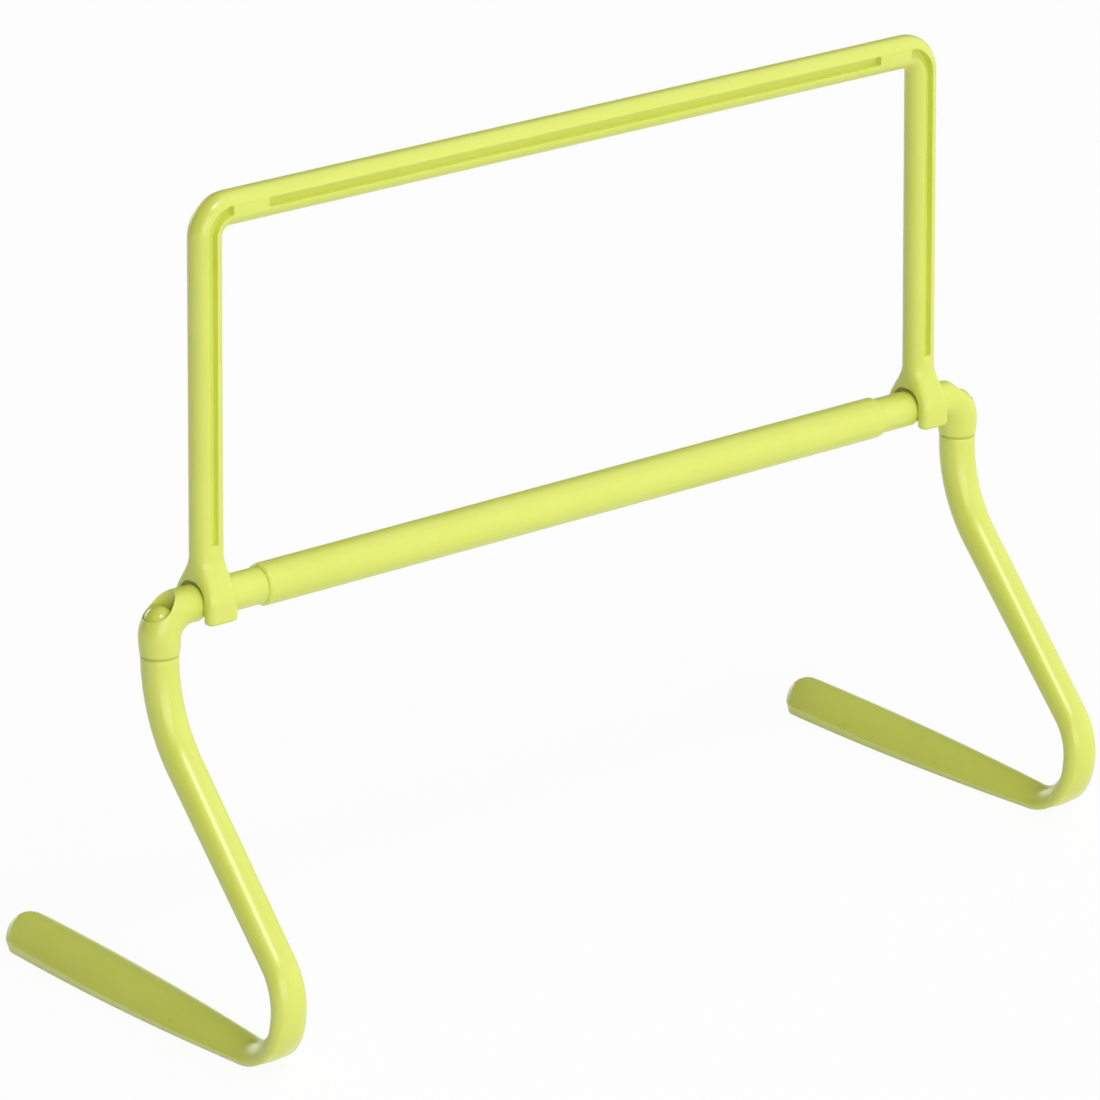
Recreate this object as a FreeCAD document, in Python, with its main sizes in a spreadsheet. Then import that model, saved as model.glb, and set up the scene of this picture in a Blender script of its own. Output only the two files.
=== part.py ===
import FreeCAD, Part
import math
import os
import Sketcher
from FreeCAD import Vector

# Speed hurdle with a flip-over frame: a crossbar carried by two elbows, a U-shaped frame that turns
# on the crossbar's axis, and two bent legs that swivel under the elbows to fold flat.
# X runs along the crossbar, Y backwards, Z up; the origin is on the floor, in the middle of the footprint.

doc = FreeCAD.newDocument("speed_hurdle")
sheet = doc.addObject("Spreadsheet::Sheet", "dim")

# Driving dimensions in millimetres and degrees
driving = {
    # stance
    "axis_height": 155.4,
    "hood_offset": 22.9,
    "leg_offset": 21.1,
    # flip frame
    "frame_rise": 143.4,
    "lean_in": 2.1,
    "bar_width": 12.7,
    "bar_depth": 10.5,
    "bar_corner": 5.1,
    "frame_corner": 9.3,
    "groove_width": 3.5,
    "groove_depth": 2.8,
    "groove_start": 21.3,
    "top_groove_inset": 24.8,
    "hood_width": 13.2,
    "hood_depth": 22.6,
    "hood_corner": 2.6,
    "hood_drop": 6.6,
    "hood_edge": 1.6,
    "flare_height": 17.0,
    "slot_width": 14.3,
    "slot_top": 8.0,
    "slot_corner": 6.0,
    # crossbar tube
    "tube_length": 298.0,
    "tube_diameter": 15.8,
    "tube_bore": 11.8,
    "tube_edge": 1.2,
    # elbows
    "arm_diameter": 13.7,
    "journal_diameter": 12.2,
    "spigot_length": 40.0,
    "elbow_radius": 9.0,
    "socket_diameter": 15.3,
    "mouth_diameter": 14.3,
    "seam_drop": 15.6,
    "pivot_bore": 11.0,
    "window_bore": 11.7,
    "ledge_bore": 8.2,
    "ledge_depth": 5.0,
    "ledge_thickness": 2.0,
    # grip clips, swivel plugs and washers
    "clip_length": 11.5,
    "clip_drop": 3.4,
    "washer_thickness": 0.7,
    "washer_diameter": 14.0,
    "plug_shank": 6.0,
    "plug_shank_length": 10.0,
    "plug_dome_drop": 3.6,
    # legs
    "leg_top_diameter": 14.0,
    "knee_drop": 18.1,
    "knee_radius": 55.0,
    "shin_lean": 42.2,
    "shin_width": 13.9,
    "shin_depth": 10.8,
    "bend_radius": 23.0,
    "toe_width": 15.9,
    "toe_height": 7.7,
    "toe_crease": 2.2,
    "foot_width": 23.4,
    "foot_height": 10.9,
    "rear_width": 21.2,
    "rear_height": 12.7,
    "rear_crease": 4.2,
    "sole_inset": 1.2,
    "sole_trim": 0.5,
    "foot_rear": 91.0,
    "foot_end_round": 5.0,
    # fits
    "running_gap": 0.05,
    "press_gap": 0.02,
    "end_gap": 0.1,
}

# Sizes worked out from them
worked_out = {
    "upright_x": "tube_length / 2 + hood_offset",
    "leg_x": "upright_x + leg_offset",
    "arm_length": "hood_offset + leg_offset",
    "journal_length": "clip_length + 2 * end_gap",
    "top_x": "upright_x - lean_in",
    "top_groove_x": "top_x - top_groove_inset",
    "splay": "lean_in / frame_rise",
    "splay_length": "sqrt(1 + splay^2)",
    "corner_run": "frame_corner * (splay_length - splay)",
    "corner_x": "top_x - corner_run",
    "corner_centre": "frame_rise - frame_corner",
    "corner_side_x": "top_x + corner_run * splay / splay_length",
    "corner_side_z": "frame_rise - corner_run / splay_length",
    "ledge_under": "ledge_depth + ledge_thickness",
    "barrel_drop": "seam_drop - elbow_radius",
    "barrel_inset": "(socket_diameter - mouth_diameter) / 2",
    "barrel_radius": "(barrel_drop^2 + barrel_inset^2) / (2 * barrel_inset)",
    "leg_top": "axis_height - seam_drop - washer_thickness - end_gap",
    "pivot_top": "axis_height - ledge_under - end_gap",
    "knee_start": "axis_height - knee_drop",
    "knee_end_y": "-knee_radius * (1 - cos(shin_lean))",
    "knee_end_z": "knee_start - knee_radius * sin(shin_lean)",
    "foot_axis": "toe_height / 2",
    "bend_centre_z": "foot_axis + bend_radius",
    "bend_start_z": "bend_centre_z + bend_radius * sin(shin_lean)",
    "bend_start_y": "knee_end_y - (knee_end_z - bend_start_z) * tan(shin_lean)",
    "bend_centre_y": "bend_start_y + bend_radius * cos(shin_lean)",
    "bend_depth": "shin_depth + (toe_height - shin_depth) * shin_lean / (90 + shin_lean)",
    "foot_front": "bend_radius - bend_centre_y + bend_depth / 2",
    "crossbar_y": "(foot_front - foot_rear) / 2",
}

for row, (alias, value) in enumerate(driving.items(), start=1):
    sheet.set(f"A{row}", alias)
    sheet.set(f"B{row}", str(value))
    sheet.setAlias(f"B{row}", alias)
for row, (alias, formula) in enumerate(worked_out.items(), start=1):
    sheet.set(f"C{row}", alias)
    sheet.set(f"D{row}", "=" + formula)
    sheet.setAlias(f"D{row}", alias)
doc.recompute()


def amount(formula):
    """The value of a formula on the sheet's names, such as 'dim.tube_length / 2'."""
    result = sheet.evalExpression(formula)
    return float(getattr(result, "Value", result))


def new_body(label, x="0", y="dim.crossbar_y", z="0"):
    """An empty body, placed in the hurdle by three formulas."""
    body = doc.addObject("PartDesign::Body", label)
    body.Label = label
    for axis, formula in (("x", x), ("y", y), ("z", z)):
        body.setExpression(f"Placement.Base.{axis}", formula)
    return body


def datum(body, role):
    """One of the body's own origin planes or axes."""
    return next(feature for feature in body.Origin.OriginFeatures if feature.Role == role)


def new_sketch(body, plane, name, offset="0"):
    """A sketch on an origin plane, moved along that plane's normal by a formula."""
    sketch = body.newObject("Sketcher::SketchObject", name)
    sketch.AttachmentSupport = [(datum(body, plane), "")]
    sketch.MapMode = "FlatFace"
    sketch.setExpression("AttachmentOffset.Base.z", offset)
    return sketch


def bind(sketch, constraint, formula):
    """Add a constraint whose value follows a formula."""
    index = sketch.addConstraint(constraint)
    sketch.setExpression(f"Constraints[{index}]", formula)


def pin(sketch, geometry, position, x=None, y=None):
    """Hold a point of the sketch at the given formulas; -1 and -2 are its own across and upright axes."""
    for kind, formula, zero_axis in (("DistanceX", x, -2), ("DistanceY", y, -1)):
        if formula is None:
            continue
        if formula == "0":
            sketch.addConstraint(Sketcher.Constraint("PointOnObject", geometry, position, zero_axis))
        else:
            from_origin = Sketcher.Constraint(kind, -1, 1, geometry, position, amount(formula))
            bind(sketch, from_origin, formula)


def draw(sketch, corners, closed=True):
    """Lines and arcs through corners (x, y); a third item (centre x, centre y, turn) starts an arc there."""
    points = [Vector(amount(corner[0]), amount(corner[1]), 0) for corner in corners]
    spans = len(corners) if closed else len(corners) - 1
    edges = []
    for index in range(spans):
        start = points[index]
        stop = points[(index + 1) % len(points)]
        if len(corners[index]) == 2:
            edge = sketch.addGeometry(Part.LineSegment(start, stop), False)
            edges.append((edge, 1, 2))
            continue
        centre_x, centre_y, turn = corners[index][2]
        centre = Vector(amount(centre_x), amount(centre_y), 0)
        first, last = (start, stop) if turn > 0 else (stop, start)
        angles = [math.atan2(point.y - centre.y, point.x - centre.x) for point in (first, last)]
        if angles[1] <= angles[0]:
            angles[1] += 2 * math.pi
        circle = Part.Circle(centre, Vector(0, 0, 1), start.distanceToPoint(centre))
        edge = sketch.addGeometry(Part.ArcOfCircle(circle, *angles), False)
        edges.append((edge, 1, 2) if turn > 0 else (edge, 2, 1))
    for index, (edge, begin, end) in enumerate(edges):
        pin(sketch, edge, begin, corners[index][0], corners[index][1])
        if closed or index + 1 < len(edges):
            following, following_begin, following_end = edges[(index + 1) % len(edges)]
            joint = Sketcher.Constraint("Coincident", edge, end, following, following_begin)
            sketch.addConstraint(joint)
        else:
            pin(sketch, edge, end, corners[-1][0], corners[-1][1])
    for index, (edge, begin, end) in enumerate(edges):
        if len(corners[index]) == 3:
            chord = points[(index + 1) % len(points)] - points[index]
            centre_x, centre_y, turn = corners[index][2]
            if abs(chord.x) > abs(chord.y):
                pin(sketch, edge, 3, y=centre_y)
            else:
                pin(sketch, edge, 3, x=centre_x)


def draw_circle(sketch, diameter, x="0", y="0"):
    """A circle of a diameter formula about a point of the sketch."""
    centre = Vector(amount(x), amount(y), 0)
    circle = sketch.addGeometry(Part.Circle(centre, Vector(0, 0, 1), amount(diameter) / 2), False)
    pin(sketch, circle, 3, x, y)
    bind(sketch, Sketcher.Constraint("Diameter", circle, amount(diameter)), diameter)


def draw_rounded(sketch, width, depth, corner, x="0"):
    """A rectangle with rounded corners, centred at x on the sketch's across axis."""
    left, right = f"{x} - ({width}) / 2", f"{x} + ({width}) / 2"
    low, high = f"-({depth}) / 2", f"({depth}) / 2"
    in_left, in_right = f"{left} + {corner}", f"{right} - ({corner})"
    in_low, in_high = f"{low} + {corner}", f"{high} - ({corner})"
    draw(sketch, [
        (in_left, low), (in_right, low, (in_right, in_low, 1)),
        (right, in_low), (right, in_high, (in_right, in_high, 1)),
        (in_right, high), (in_left, high, (in_left, in_high, 1)),
        (left, in_high), (left, in_low, (in_left, in_low, 1)),
    ])


def draw_oval(sketch, width, depth):
    """An oval of four arcs that meet on the diagonals; a circle where width and depth are the same."""
    share = math.sqrt(0.5)
    spread = f"({width} - ({depth})) / {4 * share - 2}"
    side, crown = f"({width} + {depth}) / 4 - ({spread}) / 2", f"({width} + {depth}) / 4 + ({spread}) / 2"
    across, along, shift = f"{share} * ({crown})", f"{share} * ({side})", f"{share} * ({spread})"
    draw(sketch, [
        (f"-({across})", f"-({along})", ("0", shift, 1)), (across, f"-({along})", (shift, "0", 1)),
        (across, along, ("0", f"-({shift})", 1)), (f"-({across})", along, (f"-({shift})", "0", 1)),
    ])


def feature(body, kind, name, profile, **settings):
    """A solid feature of the body on a profile sketch."""
    made = body.newObject(f"PartDesign::{kind}", name)
    made.Profile = profile
    for setting, value in settings.items():
        setattr(made, setting, value)
    doc.recompute()
    return made


def turned(body, kind, name, axis, corners):
    """A body of revolution, or a turned cut, from a half profile in the XZ plane."""
    profile = new_sketch(body, "XZ_Plane", f"{name}_profile")
    draw(profile, corners)
    return feature(body, kind, name, profile, ReferenceAxis=(datum(body, axis), [""]), Angle=360)


def swept(body, kind, name, profile, path, sections=()):
    """A profile carried along a path, through further sections where the shape changes."""
    made = body.newObject(f"PartDesign::{kind}", name)
    made.Profile = profile
    made.Spine = (path, [])
    if sections:
        made.Transformation = "Multisection"
        made.Sections = list(sections)
    doc.recompute()
    return made


def round_edges(body, base, name, axis, place, radius, above="-dim.axis_height"):
    """Round the edges of a feature that lie in one plane across an axis, above a height."""
    level, floor = amount(place), amount(above)
    edges = []
    for number, edge in enumerate(base.Shape.Edges, start=1):
        box = edge.BoundBox
        ends = (getattr(box, f"{axis}Min"), getattr(box, f"{axis}Max"))
        if max(abs(end - level) for end in ends) < 0.01 and box.ZMax > floor:
            edges.append(f"Edge{number}")
    rounding = body.newObject("PartDesign::Fillet", name)
    rounding.Base = (base, edges)
    rounding.setExpression("Radius", radius)
    doc.recompute()


def crossbar_tube():
    """Plain tube that the elbows plug into, with rounded end edges."""
    body = new_body("crossbar_tube", z="dim.axis_height")
    half, edge = "dim.tube_length / 2", "dim.tube_edge"
    bore, wall = "dim.tube_bore / 2", "dim.tube_diameter / 2"
    turned(body, "Revolution", "tube", "X_Axis", [
        (f"-({half})", bore), (half, bore),
        (half, f"{wall} - {edge}", (f"{half} - {edge}", f"{wall} - {edge}", 1)),
        (f"{half} - {edge}", wall),
        (f"{edge} - {half}", wall, (f"{edge} - {half}", f"{wall} - {edge}", 1)),
        (f"-({half})", f"{wall} - {edge}"),
    ])
    return body


def hurdle_frame():
    """U-shaped frame in one moulding: grooved bars and two hoods that sit astride the elbows' arms."""
    body = new_body("hurdle_frame", z="dim.axis_height")
    foot = "dim.slot_top"
    foot_x = f"(dim.upright_x - {foot} * dim.splay)"
    path = new_sketch(body, "XZ_Plane", "bar_path")
    draw(path, [
        (f"-{foot_x}", foot),
        ("-dim.corner_side_x", "dim.corner_side_z", ("-dim.corner_x", "dim.corner_centre", -1)),
        ("-dim.corner_x", "dim.frame_rise"),
        ("dim.corner_x", "dim.frame_rise", ("dim.corner_x", "dim.corner_centre", -1)),
        ("dim.corner_side_x", "dim.corner_side_z"),
        (foot_x, foot),
    ], closed=False)
    section = new_sketch(body, "XY_Plane", "bar_section", foot)
    draw_rounded(section, "dim.bar_width", "dim.bar_depth", "dim.bar_corner", f"-{foot_x}")
    swept(body, "AdditivePipe", "bars", section, path)
    hood(body, "left", "-")
    prongs = hood(body, "right", "")
    round_edges(body, prongs, "hood_edges", "Z", "-dim.hood_drop", "dim.hood_edge")
    arm_slot(body, "left", "-")
    arm_slot(body, "right", "")
    for face, sign in (("front", "-"), ("rear", "")):
        grooves(body, face, sign)
    return body


def hood(body, side, sign):
    """Hooded foot of an upright: it flares out from the bar into two prongs astride the elbow's arm."""
    steps = 4
    sections = []
    for step in range(steps + 1):
        share = (1 + math.cos(math.pi * step / steps)) / 2
        height = f"dim.flare_height * {step / steps}"
        section = new_sketch(body, "XY_Plane", f"{side}_flare_{step}", height)
        width = f"dim.bar_width + (dim.hood_width - dim.bar_width) * {share}"
        depth = f"dim.bar_depth + (dim.hood_depth - dim.bar_depth) * {share}"
        corner = f"(dim.bar_corner + (dim.hood_corner - dim.bar_corner) * {share})"
        draw_rounded(section, width, depth, corner, f"{sign}(dim.upright_x - {height} * dim.splay)")
        sections.append(section)
    feature(body, "AdditiveLoft", f"{side}_flare", sections[0], Sections=sections[1:])
    outline = new_sketch(body, "XY_Plane", f"{side}_hood_outline", "-dim.hood_drop")
    draw_rounded(outline, "dim.hood_width", "dim.hood_depth", "dim.hood_corner", f"{sign}dim.upright_x")
    prongs = feature(body, "Pad", f"{side}_hood", outline)
    prongs.setExpression("Length", "dim.hood_drop")
    doc.recompute()
    return prongs


def arm_slot(body, side, sign):
    """Slot through a hood, open below, that leaves the two prongs."""
    half, top, corner = "dim.slot_width / 2", "dim.slot_top", "dim.slot_corner"
    below, spring, inside = "-2 * dim.hood_drop", f"{top} - {corner}", f"({half} - {corner})"
    slot = new_sketch(body, "YZ_Plane", f"{side}_slot_outline", f"{sign}dim.upright_x")
    draw(slot, [
        (f"-{half}", below), (half, below),
        (half, spring, (inside, spring, 1)), (inside, top),
        (f"-{inside}", top, (f"-{inside}", spring, 1)), (f"-{half}", spring),
    ])
    cut = feature(body, "Pocket", f"{side}_slot", slot, SideType="Symmetric")
    cut.setExpression("Length", "2 * dim.hood_width")
    doc.recompute()


def grooves(body, face, sign):
    """Grooves in one face of the frame: one up each upright and round its corner, one along the top."""
    outer = f"{sign}dim.bar_depth"
    inner = f"{sign}(dim.bar_depth / 2 - dim.groove_depth)"
    half, start, rise = "dim.groove_width / 2", "dim.groove_start", "dim.frame_rise"
    for side, mirror, turn in (("left", "-", -1), ("right", "", 1)):
        foot_x, corner_x = f"{mirror}(dim.upright_x - {start} * dim.splay)", f"{mirror}dim.corner_x"
        path = new_sketch(body, "XZ_Plane", f"{face}_{side}_groove_path")
        draw(path, [
            (foot_x, start),
            (f"{mirror}dim.corner_side_x", "dim.corner_side_z", (corner_x, "dim.corner_centre", turn)),
            (corner_x, rise),
        ], closed=False)
        section = new_sketch(body, "XY_Plane", f"{face}_{side}_groove_section", start)
        low, high = f"{foot_x} - {half}", f"{foot_x} + {half}"
        draw(section, [(low, outer), (high, outer), (high, inner), (low, inner)])
        swept(body, "SubtractivePipe", f"{face}_{side}_groove", section, path)
    path = new_sketch(body, "XZ_Plane", f"{face}_top_groove_path")
    draw(path, [("-dim.top_groove_x", rise), ("dim.top_groove_x", rise)], closed=False)
    section = new_sketch(body, "YZ_Plane", f"{face}_top_groove_section", "-dim.top_groove_x")
    low, high = f"{rise} - {half}", f"{rise} + {half}"
    draw(section, [(outer, low), (outer, high), (inner, high), (inner, low)])
    swept(body, "SubtractivePipe", f"{face}_top_groove", section, path)


def elbow(side, outward, inward, turn):
    """Corner piece: an arm through the frame's knuckle into the tube, and a socket for the leg's pivot."""
    body = new_body(f"{side}_elbow", f"{outward}dim.leg_x", z="dim.axis_height")
    radius, arm = "dim.elbow_radius", "dim.arm_diameter / 2"
    journal, spigot = "dim.journal_diameter / 2", "dim.tube_bore / 2 - dim.press_gap"
    journal_start = f"{inward}(dim.leg_offset - dim.journal_length / 2)"
    journal_end = f"{inward}(dim.leg_offset + dim.journal_length / 2)"
    shoulder = f"{inward}dim.arm_length"
    spigot_end = f"{inward}(dim.arm_length + dim.spigot_length)"
    bend_start = f"{inward}{radius}"
    turned(body, "Revolution", f"{side}_arm", "X_Axis", [
        (bend_start, "0"), (bend_start, arm), (journal_start, arm), (journal_start, journal),
        (journal_end, journal), (journal_end, arm), (shoulder, arm), (shoulder, spigot),
        (spigot_end, spigot), (spigot_end, "0"),
    ])
    path = new_sketch(body, "XZ_Plane", f"{side}_bend_path")
    draw(path, [
        (bend_start, "0", (bend_start, f"-{radius}", turn)),
        ("0", f"-{radius}"),
    ], closed=False)
    arm_end = new_sketch(body, "YZ_Plane", f"{side}_bend_arm_end", bend_start)
    draw_circle(arm_end, "dim.arm_diameter")
    socket_end = new_sketch(body, "XY_Plane", f"{side}_bend_socket_end", f"-{radius}")
    draw_circle(socket_end, "dim.socket_diameter")
    swept(body, "AdditivePipe", f"{side}_bend", arm_end, path, [socket_end])
    socket, mouth = "dim.socket_diameter / 2", "dim.mouth_diameter / 2"
    turned(body, "Revolution", f"{side}_socket", "Z_Axis", [
        ("0", f"-{radius}"), ("0", "-dim.seam_drop"),
        (mouth, "-dim.seam_drop", (f"{socket} - dim.barrel_radius", f"-{radius}", 1)),
        (socket, f"-{radius}"),
    ])
    pivot, hole, window = "dim.pivot_bore / 2", "dim.ledge_bore / 2", "dim.window_bore / 2"
    below, above = "-2 * dim.seam_drop", "2 * dim.arm_diameter"
    turned(body, "Groove", f"{side}_pivot_bore", "Z_Axis", [
        ("0", below), (pivot, below), (pivot, "-dim.ledge_under"), (hole, "-dim.ledge_under"),
        (hole, "-dim.ledge_depth"), (window, "-dim.ledge_depth"), (window, above), ("0", above),
    ])
    return body


def leg(side, outward):
    """Bent leg in one moulding: a pivot, a shin that leans forward, a bend and a long flat-soled foot."""
    body = new_body(f"{side}_leg", f"{outward}dim.leg_x")
    path = new_sketch(body, "YZ_Plane", f"{side}_shin_path")
    draw(path, [
        ("0", "dim.leg_top"),
        ("0", "dim.knee_start", ("-dim.knee_radius", "dim.knee_start", -1)),
        ("dim.knee_end_y", "dim.knee_end_z"),
        ("dim.bend_start_y", "dim.bend_start_z", ("dim.bend_centre_y", "dim.bend_centre_z", 1)),
        ("dim.bend_centre_y", "dim.foot_axis"),
    ], closed=False)
    top = new_sketch(body, "XY_Plane", f"{side}_shin_top", "dim.leg_top")
    draw_oval(top, "dim.leg_top_diameter", "dim.leg_top_diameter")
    low = new_sketch(body, "XY_Plane", f"{side}_shin_low", "dim.bend_start_z")
    lean = FreeCAD.Rotation(Vector(-1, 0, 0), amount("dim.shin_lean"))
    low.AttachmentOffset = FreeCAD.Placement(Vector(), lean)
    low.setExpression("AttachmentOffset.Base.y", "dim.bend_start_y")
    low.setExpression("AttachmentOffset.Rotation.Angle", "dim.shin_lean")
    draw_oval(low, "dim.shin_width", "dim.shin_depth")
    sections = []
    stations = 4
    for station in range(stations + 1):
        share = station / stations
        place = f"-(dim.bend_centre_y + (dim.foot_rear - dim.bend_centre_y) * {share})"
        section = new_sketch(body, "XZ_Plane", f"{side}_foot_{station}", place)
        draw_sole_section(section, share)
        sections.append(section)
    swept(body, "AdditivePipe", f"{side}_shin", top, path, [low, sections[0]])
    foot = feature(body, "AdditiveLoft", f"{side}_foot", sections[0], Sections=sections[1:])
    above = "dim.toe_crease / 2"
    round_edges(body, foot, f"{side}_foot_end", "Y", "dim.foot_rear", "dim.foot_end_round", above)
    front, rear = "-2 * dim.foot_front", "2 * dim.foot_rear"
    outline = new_sketch(body, "XY_Plane", f"{side}_sole_outline")
    draw(outline, [
        ("-dim.foot_width", front), ("dim.foot_width", front), ("dim.foot_width", rear), ("-dim.foot_width", rear),
    ])
    sole = feature(body, "Pocket", f"{side}_sole", outline)
    sole.setExpression("Length", "dim.foot_height")
    doc.recompute()
    pivot, hole = "dim.pivot_bore / 2 - dim.running_gap", "dim.plug_shank / 2"
    turned(body, "Revolution", f"{side}_pivot", "Z_Axis", [
        ("0", "dim.knee_start"), (pivot, "dim.knee_start"), (pivot, "dim.pivot_top"), ("0", "dim.pivot_top"),
    ])
    hole_end = "dim.pivot_top - dim.plug_shank_length - dim.end_gap"
    turned(body, "Groove", f"{side}_plug_hole", "Z_Axis", [
        ("0", hole_end), (hole, hole_end), (hole, "dim.axis_height"), ("0", "dim.axis_height"),
    ])
    return body


def draw_sole_section(sketch, share):
    """Section of the foot: a sole to be trimmed flat, a slanted lower edge up to the crease, a rounded top."""
    toe, middle, rear = (1 - 2 * share) * (1 - share), 4 * share * (1 - share), share * (2 * share - 1)
    half = f"(({toe} * dim.toe_width + {middle} * dim.foot_width + {rear} * dim.rear_width) / 2)"
    height = f"({toe} * dim.toe_height + {middle} * dim.foot_height + {rear} * dim.rear_height)"
    crease = f"(dim.toe_crease + (dim.rear_crease - dim.toe_crease) * {share})"
    sole = f"({half} - dim.sole_inset * (1 + dim.sole_trim / {crease}))"
    crown = f"({height} - {crease})"
    centre = f"{height} - ({half}^2 + {crown}^2) / (2 * {crown})"
    draw(sketch, [
        (f"-{sole}", "-dim.sole_trim"), (sole, "-dim.sole_trim"),
        (half, crease, ("0", centre, 1)),
        (f"-{half}", crease),
    ])


def swivel_plug(side, outward):
    """Domed plug pressed into the leg's pivot from above; its head rests on the elbow's ledge."""
    body = new_body(f"{side}_swivel_plug", f"{outward}dim.leg_x", z="dim.axis_height")
    shank, neck = "dim.plug_shank / 2 - dim.press_gap", "dim.ledge_bore / 2 - dim.running_gap"
    head = "dim.window_bore / 2 - dim.running_gap - dim.end_gap"
    seat = "-(dim.ledge_under + dim.end_gap)"
    tip, under = f"{seat} - dim.plug_shank_length", "dim.end_gap - dim.ledge_depth"
    turned(body, "Revolution", f"{side}_plug", "Z_Axis", [
        ("0", tip), (shank, tip), (shank, seat), (neck, seat), (neck, under), (head, under),
        (head, "-dim.plug_dome_drop", ("0", "-dim.plug_dome_drop", 1)),
        ("0", f"{head} - dim.plug_dome_drop"),
    ])
    return body


def swivel_washer(side, outward):
    """Thin friction washer in the seam between elbow and leg."""
    place = "dim.axis_height - dim.seam_drop - dim.end_gap - dim.washer_thickness"
    body = new_body(f"{side}_swivel_washer", f"{outward}dim.leg_x", z=place)
    ring = new_sketch(body, "XY_Plane", f"{side}_washer_ring")
    draw_circle(ring, "dim.washer_diameter")
    draw_circle(ring, "dim.pivot_bore")
    pad = feature(body, "Pad", f"{side}_washer", ring)
    pad.setExpression("Length", "dim.washer_thickness")
    return body


def grip_clip(side, outward):
    """C-shaped clip pressed into a hood; it snaps over the arm's journal and holds the frame's angle."""
    body = new_body(f"{side}_grip_clip", f"{outward}dim.upright_x", z="dim.axis_height")
    half, top = "(dim.slot_width / 2 - dim.press_gap)", "(dim.slot_top - dim.press_gap)"
    inside, spring = "(dim.slot_width / 2 - dim.slot_corner)", "(dim.slot_top - dim.slot_corner)"
    bore, low = "(dim.journal_diameter / 2 + dim.running_gap)", "-dim.clip_drop"
    mouth = f"sqrt({bore}^2 - dim.clip_drop^2)"
    outline = new_sketch(body, "YZ_Plane", f"{side}_clip_outline")
    draw(outline, [
        (half, low), (half, spring, (inside, spring, 1)), (inside, top),
        (f"-{inside}", top, (f"-{inside}", spring, 1)), (f"-{half}", spring), (f"-{half}", low),
        (f"-{mouth}", low, ("0", "0", -1)), (mouth, low),
    ])
    pad = feature(body, "Pad", f"{side}_clip", outline, SideType="Symmetric")
    pad.setExpression("Length", "dim.clip_length")
    return body


sub_parts = [crossbar_tube(), hurdle_frame()]
for side, outward, inward, turn in (("left", "-", "", 1), ("right", "", "-", -1)):
    sub_parts.append(elbow(side, outward, inward, turn))
    sub_parts.append(leg(side, outward))
    sub_parts.append(swivel_plug(side, outward))
    sub_parts.append(swivel_washer(side, outward))
    sub_parts.append(grip_clip(side, outward))
doc.recompute()

failed = [item.Label for item in doc.Objects if "Invalid" in item.State or "Error" in item.State]
for part in sub_parts:
    if part.Shape.isNull() or not part.Shape.isValid() or len(part.Shape.Solids) != 1:
        failed.append(part.Label)
if failed:
    raise RuntimeError("failed: " + ", ".join(failed))

os.makedirs("parts", exist_ok=True)
for part in sub_parts:
    part.Shape.exportStep(f"parts/{part.Label}.step")
    box = part.Shape.BoundBox
    print(f"{part.Label}: {part.Shape.Volume:.0f} mm3, x {box.XMin:.1f} to {box.XMax:.1f}, "
          f"y {box.YMin:.1f} to {box.YMax:.1f}, z {box.ZMin:.1f} to {box.ZMax:.1f}")
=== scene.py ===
import math

import bmesh
import bpy
from mathutils import Matrix, Vector


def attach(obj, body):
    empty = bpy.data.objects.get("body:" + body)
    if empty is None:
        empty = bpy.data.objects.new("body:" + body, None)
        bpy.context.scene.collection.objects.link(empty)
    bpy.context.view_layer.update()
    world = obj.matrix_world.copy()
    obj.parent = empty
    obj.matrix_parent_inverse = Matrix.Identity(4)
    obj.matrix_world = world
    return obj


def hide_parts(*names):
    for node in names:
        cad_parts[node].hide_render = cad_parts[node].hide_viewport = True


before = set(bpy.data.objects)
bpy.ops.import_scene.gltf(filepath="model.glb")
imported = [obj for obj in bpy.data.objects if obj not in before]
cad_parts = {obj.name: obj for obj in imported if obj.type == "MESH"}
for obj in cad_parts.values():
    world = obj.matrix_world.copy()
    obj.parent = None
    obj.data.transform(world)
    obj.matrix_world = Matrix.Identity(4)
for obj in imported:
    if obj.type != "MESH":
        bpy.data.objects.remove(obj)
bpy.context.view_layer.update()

# Crossbar tube: a straight extruded plastic tube, cut to length, with its end edges broken round.
# The elbows' spigots press into it from both ends. Lengths are in millimetres until a piece is put
# in place, and the crossbar's axis is the starting point of every piece on it.
AXIS = Vector((0, -6.618, 155.4))
MM = 0.001


class Signal:
    """A shader socket; an expression on it adds Math nodes."""

    def __init__(self, finish, socket):
        self.finish = finish
        self.socket = socket

    def math(self, operation, first, second):
        return self.finish.node("Math", {"operation": operation}, {0: first, 1: second})

    def __add__(self, other):
        return self.math("ADD", self, other)

    def __radd__(self, other):
        return self.math("ADD", other, self)

    def __sub__(self, other):
        return self.math("SUBTRACT", self, other)

    def __rsub__(self, other):
        return self.math("SUBTRACT", other, self)

    def __mul__(self, other):
        return self.math("MULTIPLY", self, other)

    def __rmul__(self, other):
        return self.math("MULTIPLY", other, self)

    def __abs__(self):
        return self.math("ABSOLUTE", self, 0.0)


class Finish:
    """A material whose nodes are added one by one."""

    def __init__(self, name):
        self.material = bpy.data.materials.new(name)
        self.material.use_nodes = True
        self.tree = self.material.node_tree
        self.shader = self.tree.nodes["Principled BSDF"]

    def node(self, kind, settings, inputs, output=0):
        made = self.tree.nodes.new("ShaderNode" + kind)
        for setting, value in settings.items():
            setattr(made, setting, value)
        for socket, value in inputs.items():
            self.feed(made.inputs[socket], value)
        return Signal(self, made.outputs[output])

    def feed(self, socket, value):
        if isinstance(value, Signal):
            self.tree.links.new(value.socket, socket)
        else:
            socket.default_value = value

    def noise(self, place, scale, detail):
        inputs = {"Vector": place, "Scale": scale, "Detail": detail, "Roughness": 0.55}
        return self.node("TexNoise", {}, inputs)

    def tint(self, share, first, second):
        return self.node("Mix", {"data_type": "RGBA"}, {0: share, 6: first, 7: second}, 2)


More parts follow.
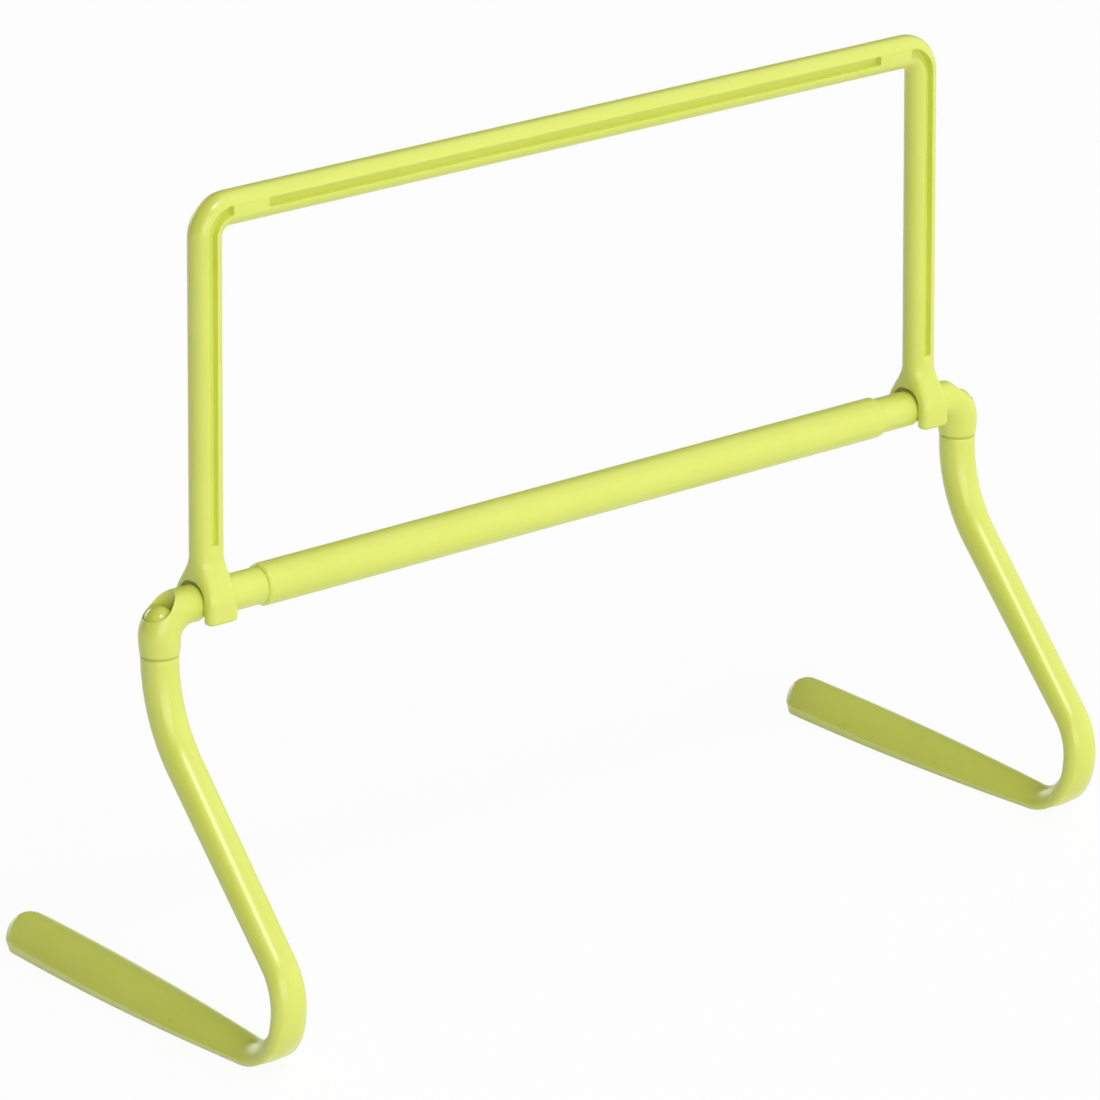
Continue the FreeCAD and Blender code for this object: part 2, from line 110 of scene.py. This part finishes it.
def moulded_plastic(name, colour, deep_colour, roughness, grain, parting=None):
    """Coloured plastic: pigment drift, a fine grain and, on a moulding, a faint parting line."""
    finish = Finish(name)
    place = finish.node("TexCoord", {}, {}, "Object")
    drift = finish.noise(place, scale=38.0, detail=3.0)
    speck = finish.noise(place, scale=900.0, detail=2.0)
    share = finish.node("MapRange", {}, {0: drift * 0.75 + speck * 0.25, 1: 0.32, 2: 0.68})
    pigment = finish.tint(share, (*deep_colour, 1), (*colour, 1))
    if parting:
        axis, level = parting
        line_core, line_edge, line_share = 0.00008, 0.00028, 0.15
        apart = finish.node("SeparateXYZ", {}, {0: place}, axis)
        line = finish.node("MapRange", {"interpolation_type": "SMOOTHSTEP"},
                           {0: abs(apart - level), 1: line_core, 2: line_edge, 3: 1.0, 4: 0.0})
        shade = tuple(part * 0.86 for part in deep_colour)
        pigment = finish.tint(line * line_share, pigment, (*shade, 1))
    satin = finish.noise(place, scale=2600.0, detail=2.0)
    bump = finish.node("Bump", {}, {"Strength": 0.28, "Distance": 0.0001, "Height": satin * grain})
    sway = 0.08
    finish.feed(finish.shader.inputs["Base Color"], pigment)
    finish.feed(finish.shader.inputs["Roughness"], drift * sway + (roughness - sway / 2))
    finish.feed(finish.shader.inputs["Normal"], bump)
    finish.shader.inputs["Specular IOR Level"].default_value = 0.7
    return finish


def settle(bm, name, body, finish, node, start, crisp=38):
    """Put a piece made in millimetres about a starting point into the scene, in place of its CAD node.

    Edges that turn by more than the crisp angle, in degrees, stay sharp in the shading.
    """
    bmesh.ops.remove_doubles(bm, verts=bm.verts[:], dist=0.0005)
    bmesh.ops.recalc_face_normals(bm, faces=bm.faces[:])
    bmesh.ops.translate(bm, verts=bm.verts[:], vec=start)
    bmesh.ops.scale(bm, verts=bm.verts[:], vec=(MM, MM, MM))
    mesh = bpy.data.meshes.new(name)
    bm.to_mesh(mesh)
    bm.free()
    mesh.shade_smooth()
    mesh.set_sharp_from_angle(angle=math.radians(crisp))
    mesh.materials.append(finish.material)
    piece = bpy.data.objects.new(name, mesh)
    bpy.context.scene.collection.objects.link(piece)
    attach(piece, body)
    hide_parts(node)


def round_off(bm, geom, radius, segments, affect="EDGES"):
    bmesh.ops.bevel(bm, geom=geom, offset=radius, offset_type="OFFSET", segments=segments, profile=0.5,
                    affect=affect, clamp_overlap=True, material=-1)


def lathe(bm, outline, axis, corners=(), radius=0.0):
    """Turn a closed outline of (along, out) points about an axis, after rounding some of its corners."""
    along, out = Vector(axis), Vector((0, 1, 0))
    older = set(bm.faces)
    points = [bm.verts.new(along * place + out * reach) for place, reach in outline]
    bm.faces.new(points)
    if corners:
        round_off(bm, [points[corner] for corner in corners], radius, segments=6, affect="VERTICES")
    face = next(face for face in bm.faces if face not in older)
    verts, edges = face.verts[:], face.edges[:]
    bmesh.ops.delete(bm, geom=[face], context="FACES_ONLY")
    bmesh.ops.spin(bm, geom=verts + edges, cent=(0, 0, 0), axis=along, angle=2 * math.pi, steps=72,
                   use_merge=True)


LIME = (0.705, 0.768, 0.130)
DEEP_LIME = (0.675, 0.738, 0.110)
tube_half, tube_bore, tube_radius, tube_edge = 149, 5.9, 7.9, 1.6
tube_plastic = moulded_plastic("extruded_lime_plastic", LIME, DEEP_LIME, roughness=0.34, grain=0.12)
bm = bmesh.new()
tube_outline = [(-tube_half, tube_bore), (tube_half, tube_bore)]
tube_outline += [(tube_half, tube_radius), (-tube_half, tube_radius)]
lathe(bm, tube_outline, (1, 0, 0), corners=(2, 3), radius=tube_edge)
settle(bm, "extruded_crossbar", "crossbar", tube_plastic, "crossbar_tube", AXIS)

# Elbows: one injection moulding each, with an arm that the frame's hood sits on, a spigot in the tube,
# and a socket over the leg. A window in the outer corner shows the swivel plug's head. Both are made as
# the left one about the crossing of arm and leg, and the right one is then mirrored.
PIVOT = 193


def only(kind, items):
    return [item for item in items if isinstance(item, kind)]


def edges_round(bm, ring):
    return [bm.edges.get((ring[index - 1], ring[index])) for index in range(len(ring))]


def next_ring(bm, ring, points):
    """Extrude a closed ring of vertices, and lay the new ring through the given points."""
    made = bmesh.ops.extrude_edge_only(bm, edges=edges_round(bm, ring))["geom"]
    fresh = set(only(bmesh.types.BMVert, made))
    follow = {}
    for vert in fresh:
        for edge in vert.link_edges:
            if edge.other_vert(vert) not in fresh:
                follow[edge.other_vert(vert)] = vert
    after = [follow[vert] for vert in ring]
    for vert, point in zip(after, points):
        vert.co = point
    return after


def sharp_edges(bm, angle):
    """The edges between two faces that turn by more than an angle in degrees."""
    paired = [edge for edge in bm.edges if len(edge.link_faces) == 2]
    return [edge for edge in paired if edge.calc_face_angle(0) > math.radians(angle)]


def cut_away(bm, cutter_bm):
    """The first shape less the second; both are used up."""
    blocks = []
    for name, shape in (("blank", bm), ("cutter", cutter_bm)):
        bmesh.ops.recalc_face_normals(shape, faces=shape.faces[:])
        mesh = bpy.data.meshes.new(name)
        shape.to_mesh(mesh)
        shape.free()
        block = bpy.data.objects.new(name, mesh)
        bpy.context.scene.collection.objects.link(block)
        blocks.append(block)
    cut = blocks[0].modifiers.new("cut", "BOOLEAN")
    cut.object = blocks[1]
    cut.operation = "DIFFERENCE"
    cut.solver = "EXACT"
    graph = bpy.context.evaluated_depsgraph_get()
    rest = bmesh.new()
    rest.from_mesh(bpy.data.meshes.new_from_object(blocks[0].evaluated_get(graph)))
    for block in blocks:
        bpy.data.objects.remove(block)
    return rest


arm, arm_start, socket, seam = 6.85, 15.25, 7.65, 15.6
outer_bend, extra_bend, turns, around = 9.0, 3.0, 40, 64
socket_taper, window, window_edge, wall_slack, wall_merge = 0.5, 5.85, 0.3, 0.06, 0.16
socket_rows = [(share, 0) for share in (0.18, 0.36, 0.55, 0.73, 0.85, 0.95)] + [(0.985, 0.06), (1, 0.22)]
pivot_bore, neck_bore, ledge_low, ledge_top, clear = 5.5, 4.1, -7, -5, 30
journal, journal_start, journal_end = 6.1, 14.9, 26.95
arm_end, spigot, spigot_end = 44, 5.88, 84
spokes = [math.radians(360 * step / around) for step in range(around)]
bends = [outer_bend + extra_bend * ((1 - math.cos(spoke)) / 2) ** 1.5 for spoke in spokes]
elbow_rings = [[Vector((arm_start, arm * math.sin(spoke), arm * math.cos(spoke))) for spoke in spokes]]
for step in range(turns + 1):
    turn = math.radians(90 * step / turns)
    reach = arm + (socket - arm) * step / turns
    ring = []
    for spoke, bend in zip(spokes, bends):
        out = bend + reach * math.cos(spoke)
        x, z = bend - out * math.sin(turn), out * math.cos(turn) - bend
        ring.append(Vector((x, reach * math.sin(spoke), z)))
    elbow_rings.append(ring)
for share, lip in socket_rows:
    reach = socket - socket_taper * share ** 2 - lip
    ring = []
    for spoke, bend in zip(spokes, bends):
        level = -bend - (seam - bend) * share
        ring.append(Vector((-reach * math.cos(spoke), reach * math.sin(spoke), level)))
    elbow_rings.append(ring)
elbow_plastic = moulded_plastic("elbow_lime_plastic", LIME, DEEP_LIME, roughness=0.30, grain=0.1,
                                parting=(1, AXIS.y * MM))
for side, inward in (("left", 1), ("right", -1)):
    blank = bmesh.new()
    ring = [blank.verts.new(point) for point in elbow_rings[0]]
    blank.faces.new(ring)
    for points in elbow_rings[1:]:
        ring = next_ring(blank, ring, points)
    blank.faces.new(ring)
    bores = bmesh.new()
    lathe(bores, [(-clear, 0), (-clear, pivot_bore), (ledge_low, pivot_bore), (ledge_low, neck_bore),
                  (ledge_top, neck_bore), (ledge_top, window), (clear, window), (clear, 0)], (0, 0, 1))
    bmesh.ops.remove_doubles(bores, verts=bores.verts[:], dist=0.001)
    bm = cut_away(blank, bores)
    wall = [vert for vert in bm.verts if abs(vert.co.xy.length - window) < wall_slack]
    wall = [vert for vert in wall if vert.co.z > ledge_top + 1]
    bmesh.ops.remove_doubles(bm, verts=wall, dist=wall_merge)
    wall = {vert for vert in wall if vert.is_valid}
    rim = [edge for edge in sharp_edges(bm, angle=40) if wall.issuperset(edge.verts)]
    round_off(bm, rim, window_edge, segments=3)
    lathe(bm, [(journal_start, 0), (journal_start, journal), (journal_end, journal), (journal_end, arm),
               (arm_end, arm), (arm_end, spigot), (spigot_end, spigot), (spigot_end, 0)], (1, 0, 0))
    bmesh.ops.scale(bm, verts=bm.verts[:], vec=(inward, 1, 1))
    start = AXIS + Vector((-PIVOT * inward, 0, 0))
    settle(bm, f"{side}_elbow_moulding", "crossbar", elbow_plastic, f"{side}_elbow", start)

# Swivel plugs and washers: a domed plug, glossier than the rest, is pressed into the leg's pivot from above
# and its head turns on a ledge in the elbow. A thin nylon washer fills the seam below; its darker olive
# colour is painted shade, standing in for the shadow in that seam.
plug_lime, deep_plug_lime = (0.650, 0.705, 0.110), (0.620, 0.675, 0.095)
# The washer's olive, darker than the lime, is painted shade for the shadowed seam line.
olive, deep_olive = (0.560, 0.610, 0.080), (0.520, 0.570, 0.070)
plug_plastic = moulded_plastic("gloss_plug_plastic", plug_lime, deep_plug_lime, roughness=0.17, grain=0.04)
seam_shade_nylon = moulded_plastic("seam_shade_nylon", olive, deep_olive, roughness=0.5, grain=0.3)
stem, stem_end, neck, head, head_level, play = 2.98, -17.1, 4.05, 5.7, -3.6, 0.1
washer_top, washer_low, washer_radius, washer_edge = -15.7, -16.4, 7.0, 0.2
rise = [math.radians(angle) for angle in range(0, 91, 6)]
crown = [(head * math.sin(angle) + head_level, head * math.cos(angle)) for angle in rise]
for side, outward in (("left", -1), ("right", 1)):
    start = AXIS + Vector((PIVOT * outward, 0, 0))
    bm = bmesh.new()
    lathe(bm, [(stem_end, 0), (stem_end, stem), (ledge_low - play, stem), (ledge_low - play, neck),
               (ledge_top + play, neck), (ledge_top + play, head)] + crown, (0, 0, 1))
    settle(bm, f"{side}_domed_plug", f"{side}_foot_leg", plug_plastic, f"{side}_swivel_plug", start)
    bm = bmesh.new()
    lathe(bm, [(washer_low, pivot_bore), (washer_top, pivot_bore), (washer_top, washer_radius),
               (washer_low, washer_radius)], (0, 0, 1), corners=(2, 3), radius=washer_edge)
    settle(bm, f"{side}_seam_washer", f"{side}_foot_leg", seam_shade_nylon,
           f"{side}_swivel_washer", start)

# Legs: one moulding each, round at the top, flatter towards the bend, and a leaf-shaped foot with a crease
# along its side above a narrow slanted edge and a flat sole. A hollow pivot stands up into the elbow.
# The rings below run from the top of the leg to the rear of the foot, with the same points on each.
BOTTOM, FLANK, CROWN = 8, 5, 24


def ease(share):
    """Spacing that crowds towards both ends of a run, to keep the crease crisp."""
    return share - 0.9 * math.sin(2 * math.pi * share) / (2 * math.pi)


def smooth(share):
    """A rise from 0 to 1 that starts and ends level."""
    return share * share * (3 - 2 * share)


def oval(width, depth):
    """Points round the shin: bottom, right flank, crown, left flank."""
    points = []
    for count, begin in ((BOTTOM, -135), (FLANK, -45), (CROWN, 45), (FLANK, 135)):
        for step in range(count):
            angle = math.radians(begin + 90 * ease(step / count))
            points.append(Vector((width / 2 * math.cos(angle), depth / 2 * math.sin(angle))))
    return points


def sole_section(half, height, crease, inset=1.2):
    """The same points round the foot, measured up from the floor."""
    rise = height - crease
    bow = (half * half + rise * rise) / (2 * rise)
    centre = height - bow
    begin = math.atan2(crease - centre, half)
    points = []
    for step in range(BOTTOM):
        points.append(Vector(((half - inset) * (2 * step / BOTTOM - 1), 0)))
    for step in range(FLANK):
        share = ease(step / FLANK)
        points.append(Vector((half - inset * (1 - share), crease * share)))
    for step in range(CROWN):
        angle = begin + (math.pi - 2 * begin) * ease(step / CROWN)
        points.append(Vector((bow * math.cos(angle), centre + bow * math.sin(angle))))
    for step in range(FLANK):
        share = ease(1 - step / FLANK)
        points.append(Vector((inset * (1 - share) - half, crease * share)))
    return points


def rounded_in(y, end, radius):
    """How far an outline with a round end has drawn in at a place near that end."""
    past = max(0.0, y - (end - radius))
    return radius - math.sqrt(max(0.0, radius ** 2 - past ** 2))


lean, knee, knee_top, leg_top, top_edge, part_edge = math.radians(42.2), 55.0, 137.3, 139.0, 0.3, 0.09
bend, toe_axis, end_plan, end_top, rear_y = 23.0, 3.85, 8.5, 5.0, 91.0
leg_round, shin_width, shin_depth = 14, 13.9, 10.8
toe_width, mid_width, rear_width = 15.9, 23.38, 21.18
toe_height, mid_height, rear_height = 7.7, 10.9, 12.7
bend_crease, toe_crease, rear_crease, edge_slant, flat_from = 0.8, 2.2, 4.2, 0.55, 0.35
pivot, pivot_top, pivot_edge, plug_hole, hole_end = 5.45, 148.3, 0.4, 3.0, 138.2
pivot_outline = [(pivot, leg_top), (pivot, pivot_top - pivot_edge), (pivot - pivot_edge, pivot_top)]
pivot_outline += [(plug_hole, pivot_top), (plug_hole, hole_end)]
knee_steps, shin_steps, bend_steps, foot_steps = 12, 8, 32, 40
knee_end = Vector((-knee * (1 - math.cos(lean)), knee_top - knee * math.sin(lean)))
bend_start_z = toe_axis + bend + bend * math.sin(lean)
bend_start = Vector((knee_end.x - (knee_end.y - bend_start_z) * math.tan(lean), bend_start_z))
bend_middle = bend_start + bend * Vector((math.cos(lean), -math.sin(lean)))
shin = (knee_end - bend_start).length
knee_run = leg_top - knee_top + knee * lean
leg_rings = []
for inset, level in ((top_edge, leg_top), (part_edge, leg_top - part_edge), (0.0, leg_top - top_edge)):
    width = leg_round - 2 * inset
    leg_rings.append([Vector((p.x, p.y, level)) for p in oval(width, width)])
stations = []
for step in range(knee_steps + 1):
    angle = lean * step / knee_steps
    spot = Vector((-knee * (1 - math.cos(angle)), knee_top - knee * math.sin(angle)))
    stations.append((spot, angle, leg_top - knee_top + knee * angle))
for step in range(1, shin_steps + 1):
    share = step / shin_steps
    stations.append((knee_end.lerp(bend_start, share), lean, knee_run + shin * share))
for spot, angle, run in stations:
    share = run / (knee_run + shin)
    width = leg_round + (shin_width - leg_round) * share
    depth = leg_round + (shin_depth - leg_round) * share
    ring = []
    for p in oval(width, depth):
        ring.append(Vector((p.x, spot.x + p.y * math.cos(angle), spot.y - p.y * math.sin(angle))))
    leg_rings.append(ring)
for step in range(1, bend_steps + 1):
    share = step / bend_steps
    angle = lean - (lean + math.pi / 2) * share
    out = Vector((-math.cos(angle), math.sin(angle)))
    width = shin_width + (toe_width - shin_width) * share
    thick = shin_depth + (toe_height - shin_depth) * share
    crease = bend_crease + (toe_crease - bend_crease) * share ** 2
    flat = smooth(max(0.0, (share - flat_from) / (1 - flat_from)))
    ring = []
    for p, q in zip(oval(width, thick), sole_section(width / 2, thick, crease, crease * edge_slant)):
        across = p.x + (q.x - p.x) * flat
        inside = p.y + (q.y - thick / 2 - p.y) * flat
        spot = bend_middle + out * (bend - inside)
        ring.append(Vector((across, spot.x, max(spot.y, 0))))
    leg_rings.append(ring)
toe_y = bend_middle.x
runs = [toe_y + (rear_y - end_plan - toe_y) * step / foot_steps for step in range(1, foot_steps + 1)]
runs += [rear_y - end_plan + end_plan * math.sin(math.radians(turn)) for turn in range(6, 91, 6)]
for y in runs:
    share = (y - toe_y) / (rear_y - toe_y)
    toe, mid, rear = (1 - 2 * share) * (1 - share), 4 * share * (1 - share), share * (2 * share - 1)
    half = (toe * toe_width + mid * mid_width + rear * rear_width) / 2 - rounded_in(y, rear_y, end_plan)
    height = toe * toe_height + mid * mid_height + rear * rear_height - rounded_in(y, rear_y, end_top)
    crease = toe_crease + (rear_crease - toe_crease) * share
    leg_rings.append([Vector((p.x, y, p.y)) for p in sole_section(half, height, crease)])


def verts_of(rim):
    return list({vert for edge in rim for vert in edge.verts})


def middle_of(rim):
    verts = verts_of(rim)
    return sum((vert.co for vert in verts), Vector()) / len(verts)


def push_on(bm, rim, move):
    """Extrude an open rim of edges and move the new rim with a matrix."""
    made = bmesh.ops.extrude_edge_only(bm, edges=rim)["geom"]
    verts = only(bmesh.types.BMVert, made)
    bmesh.ops.transform(bm, matrix=move, verts=verts)
    fresh = set(verts)
    return [edge for edge in only(bmesh.types.BMEdge, made) if fresh.issuperset(edge.verts)]


for side, outward in (("left", -1), ("right", 1)):
    leg_plastic = moulded_plastic(f"{side}_leg_lime_plastic", LIME, DEEP_LIME, roughness=0.29, grain=0.1,
                                  parting=(0, outward * PIVOT * MM))
    bm = bmesh.new()
    ring = [bm.verts.new(point) for point in leg_rings[0]]
    rim = [bm.edges.new((ring[index - 1], ring[index])) for index in range(len(ring))]
    for points in leg_rings[1:]:
        ring = next_ring(bm, ring, points)
    bm.faces.new(ring)
    for radius, level in pivot_outline:
        now = middle_of(rim)
        wide = max((vert.co - now).length for vert in verts_of(rim))
        resize = Matrix.Diagonal((radius / wide, radius / wide, 1, 1))
        move = Matrix.Translation((now.x, now.y, level)) @ resize @ Matrix.Translation(-now)
        rim = push_on(bm, rim, move)
    bmesh.ops.holes_fill(bm, edges=rim, sides=0)
    start = Vector((PIVOT * outward, AXIS.y, 0))
    settle(bm, f"{side}_leg_moulding", f"{side}_foot_leg", leg_plastic, f"{side}_leg", start,
           crisp=55)

# Flip frame: one moulding, a U of rounded bars with a groove along its front and rear faces; each upright
# ends in a hood whose two prongs straddle the elbow's arm. The bar is drawn out from the left upright round
# to the right one and grooved; then the hoods are drawn down from its two ends and slotted.
frame_plastic = moulded_plastic("frame_lime_plastic", LIME, DEEP_LIME, roughness=0.30, grain=0.1,
                                parting=(1, AXIS.y * MM))
half_width, half_depth, bar_corner = 6.35, 5.25, 5.1
upright_x, top_x, top_z, corner = 171.9, 169.8, 143.4, 9.3
splay = (upright_x - top_x) / top_z
tilt = math.atan(splay)
run = corner * (math.hypot(1, splay) - splay)
corner_x, corner_z = top_x - run, top_z - corner
side_x = top_x + run * splay / math.hypot(1, splay)
side_z = top_z - run / math.hypot(1, splay)
groove_half, groove_depth, groove_start, top_groove, groove_edge = 1.75, 2.8, 21.3, 145.0, 0.28
face_band, slack, flare = 1.2, 0.01, 17.0
bm = bmesh.new()
outline = []
for x, y in ((-1, -1), (1, -1), (1, 1), (-1, 1)):
    outline.append(bm.verts.new((x * half_width, y * half_depth, 0)))
bm.faces.new(outline)
round_off(bm, outline, bar_corner, segments=9, affect="VERTICES")
bmesh.ops.delete(bm, geom=bm.faces[:], context="FACES_ONLY")
for level in (-groove_half, groove_half):
    bmesh.ops.bisect_plane(bm, geom=bm.verts[:] + bm.edges[:], plane_co=(level, 0, 0), plane_no=(1, 0, 0))
left_end = bm.edges[:]
foot_of_bar = Matrix.Translation((-(upright_x - flare * splay), 0, flare)) @ Matrix.Rotation(tilt, 4, "Y")
bmesh.ops.transform(bm, verts=bm.verts[:], matrix=foot_of_bar)


def bar_to(rim, x, z):
    """Lengthen the bar straight on to a point in the frame's plane."""
    now = middle_of(rim)
    return push_on(bm, rim, Matrix.Translation((x - now.x, 0, z - now.z)))


def bar_round(rim, x):
    """Take the bar round a corner of the frame."""
    made = bmesh.ops.spin(bm, geom=verts_of(rim) + rim, cent=(x, 0, corner_z), axis=(0, 1, 0),
                          angle=math.pi / 2 - tilt, steps=16)["geom_last"]
    return only(bmesh.types.BMEdge, made)


def from_bar_line(point):
    """How far a point of an upright, a corner or the top bar lies from the bar's centre line."""
    x = abs(point.x)
    if x < corner_x:
        return abs(point.z - top_z)
    if point.z > side_z:
        return abs(math.hypot(x - corner_x, point.z - corner_z) - corner)
    return abs(x - (upright_x - point.z * splay))


rim = bar_to(left_end, -(upright_x - groove_start * splay), groove_start)
rim = bar_to(rim, -side_x, side_z)
rim = bar_round(rim, -corner_x)
for x in (-top_groove, top_groove, corner_x):
    rim = bar_to(rim, x, top_z)
rim = bar_round(rim, corner_x)
rim = bar_to(rim, upright_x - groove_start * splay, groove_start)
right_end = bar_to(rim, upright_x - flare * splay, flare)
grooves = {}
for face in bm.faces:
    middle = face.calc_center_median()
    if abs(middle.y) < half_depth - face_band or from_bar_line(middle) > groove_half + slack:
        continue
    if abs(middle.x) < top_groove or (abs(middle.x) > corner_x - slack and middle.z > groove_start):
        place = 0 if abs(middle.x) < top_groove else math.copysign(1, middle.x)
        grooves.setdefault((middle.y > 0, place), []).append(face)
for (rear, _), faces in grooves.items():
    made = bmesh.ops.extrude_face_region(bm, geom=faces)["geom"]
    inwards = -groove_depth if rear else groove_depth
    bmesh.ops.translate(bm, verts=only(bmesh.types.BMVert, made), vec=(0, inwards, 0))
    bmesh.ops.delete(bm, geom=[face for face in faces if face.is_valid], context="FACES")
round_off(bm, sharp_edges(bm, angle=50), groove_edge, segments=2)
hood_drop, hood_edge = 6.6, 1.6
hood_low = hood_edge - hood_drop
hood_width, hood_depth, hood_corner, widening = 6.6, 11.3, 2.6, 7
flare_steps, prong_level, flat_top, lip_top, corner_shrink = 16, -2.5, 9.6, 9.5, 0.9
slot_half, slot_top, slot_corner, slot_foot, slot_reach, slot_lip = 7.15, 8, 6.0, -20, 15, 0.45
levels = [(flare - flare * step / flare_steps, 0.0) for step in range(1, flare_steps + 1)]
levels += [(prong_level, 0.0), (hood_low, 0.0)]
for turn in range(15, 91, 15):
    angle = math.radians(turn)
    levels.append((hood_low - hood_edge * math.sin(angle), hood_edge * (1 - math.cos(angle))))
for sign, rim in ((-1, left_end), (1, right_end)):
    now = middle_of(rim)
    ring = sorted(verts_of(rim), key=lambda vert: math.atan2(vert.co.y, vert.co.x - now.x))
    bar = [Vector((vert.co.x - now.x, vert.co.y)) for vert in ring]
    flat_edges = []
    for level, inset in levels:
        share = (1 + math.cos(math.pi * max(level, 0) / flare)) / 2
        width = half_width + (hood_width - half_width) * smooth(min(1.0, (flare - level) / widening)) - inset
        depth = half_depth + (hood_depth - half_depth) * share - inset
        bend = (bar_corner + (hood_corner - bar_corner) * share - inset * corner_shrink) / bar_corner
        centre = sign * (upright_x - max(level, 0) * splay)
        points = []
        for p in bar:
            x = width - (half_width - abs(p.x)) * bend
            y = depth - (half_depth - abs(p.y)) * bend
            points.append(Vector((centre + math.copysign(x, p.x), math.copysign(y, p.y), level)))
        ring = next_ring(bm, ring, points)
        if hood_low < level < flat_top:
            for edge in edges_round(bm, ring):
                if edge.verts[0].co.y * edge.verts[1].co.y < 0:
                    flat_edges.append(edge)
    bm.faces.new(ring)
    bmesh.ops.dissolve_edges(bm, edges=flat_edges, use_verts=False)
slots = bmesh.new()
slot_points = [(-slot_half, slot_foot), (slot_half, slot_foot)]
slot_points += [(slot_half, slot_top), (-slot_half, slot_top)]
for sign in (-1, 1):
    outline = [slots.verts.new((sign * upright_x - slot_reach, y, z)) for y, z in slot_points]
    slots.faces.new(outline)
    round_off(slots, outline[2:], slot_corner, segments=14, affect="VERTICES")
made = bmesh.ops.extrude_face_region(slots, geom=slots.faces[:], use_keep_orig=True)["geom"]
bmesh.ops.translate(slots, verts=only(bmesh.types.BMVert, made), vec=(2 * slot_reach, 0, 0))
bm = cut_away(bm, slots)
lips = [edge for edge in sharp_edges(bm, angle=35) if max(vert.co.z for vert in edge.verts) < lip_top]
round_off(bm, lips, slot_lip, segments=4)
settle(bm, "flip_frame_moulding", "flip_frame", frame_plastic, "hurdle_frame", AXIS)

# Grip clips: C-shaped nylon inserts, pressed into the hoods, which snap over the arms and hold the frame's
# angle by friction. Their plain solids stay as they are. Their dull dark olive colour is partly painted
# shade:
# it darkens the crescent seen in the slot above each arm, where shade falls.
# The clips' dark olive is painted shade for the crescent in the slot above the arm.
dark_olive, deeper_olive = (0.340, 0.380, 0.050), (0.300, 0.340, 0.040)
slot_shade_nylon = moulded_plastic("slot_shade_nylon", dark_olive, deeper_olive, roughness=0.55, grain=0.3)
for side in ("left", "right"):
    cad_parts[f"{side}_grip_clip"].material_slots[0].material = slot_shade_nylon.material

# Floor: a plain pale studio floor under the hurdle, wide enough to fill the view. To the camera and in
# reflections it is nearly white; a small share of it is lit like any surface and keeps the soft shadows.
bm = bmesh.new()
bmesh.ops.create_grid(bm, x_segments=1, y_segments=1, size=9.0)
mesh = bpy.data.meshes.new("studio_floor")
bm.to_mesh(mesh)
bm.free()
studio_floor = bpy.data.objects.new("studio_floor", mesh)
bpy.context.scene.collection.objects.link(studio_floor)
pale = Finish("pale_floor")
pale.shader.inputs["Base Color"].default_value = (0.90, 0.90, 0.90, 1)
pale.shader.inputs["Roughness"].default_value = 0.9
pale.shader.inputs["Specular IOR Level"].default_value = 0.1
seen = pale.node("LightPath", {}, {}, "Is Camera Ray") + pale.node("LightPath", {}, {}, "Is Glossy Ray")
seen = seen + pale.node("LightPath", {}, {}, "Is Transmission Ray")
glow = pale.node("Emission", {}, {"Color": (1, 1, 1, 1), "Strength": 1.0})
whiteness = 0.94
white = pale.node("MixShader", {}, {0: seen * whiteness, 1: Signal(pale, pale.shader.outputs[0]), 2: glow})
pale.feed(pale.tree.nodes["Material Output"].inputs["Surface"], white)
mesh.materials.append(pale.material)

# Light: a dim even white room, a small key lamp high in front for the streaks of gloss, a low soft lamp
# in front, a very wide soft lamp from the right and above, and a low soft lamp behind. Each lamp is given
# by its strength, its spread, and the azimuth and elevation it shines from, in degrees.
LAMPS = {
    "key": (0.85, 17, -10, 56),
    "front": (1.7, 52, -22, 3),
    "wide": (1.7, 100, 60, 35),
    "back": (1.0, 40, 180, 3),
}


def towards(azimuth, elevation):
    """The direction from the hurdle to a lamp or the camera; azimuth 0 lies straight in front."""
    side, height = math.radians(azimuth), math.radians(elevation)
    return Vector((math.sin(side) * math.cos(height), -math.cos(side) * math.cos(height), math.sin(height)))


world = bpy.data.worlds.new("white_room")
world.use_nodes = True
world.node_tree.nodes["Background"].inputs["Color"].default_value = (1, 1, 1, 1)
world.node_tree.nodes["Background"].inputs["Strength"].default_value = 0.15
bpy.context.scene.world = world
for name, (strength, spread, azimuth, elevation) in LAMPS.items():
    lamp = bpy.data.lights.new(name, "SUN")
    lamp.energy = strength
    lamp.angle = math.radians(spread)
    sun = bpy.data.objects.new(name, lamp)
    sun.rotation_euler = towards(azimuth, elevation).to_track_quat("Z", "Y").to_euler()
    bpy.context.scene.collection.objects.link(sun)

# Camera: a long lens from the front left, a little above the hurdle. It circles a point on the hurdle's
# middle plane near the crossbar, and looks slightly beside and below that point to frame the whole.
azimuth, elevation, distance = -39.887, 19.266, 2.549157
aside, aloft = math.radians(-0.221), math.radians(-0.319)
middle = Vector((0, AXIS.y * MM, 0.150))
back = towards(azimuth, elevation)
right = Vector((math.cos(math.radians(azimuth)), math.sin(math.radians(azimuth)), 0))
up = back.cross(right)
look = (math.tan(aside) * right + math.tan(aloft) * up - back).normalized()
lens = bpy.data.cameras.new("front_left")
lens.lens = 224.37
lens.sensor_width = 36
lens.clip_end = 50
camera = bpy.data.objects.new("front_left", lens)
camera.location = middle + back * distance
camera.rotation_euler = look.to_track_quat("-Z", "Y").to_euler()
bpy.context.scene.collection.objects.link(camera)
bpy.context.scene.camera = camera
bpy.context.scene.view_settings.view_transform = "Standard"
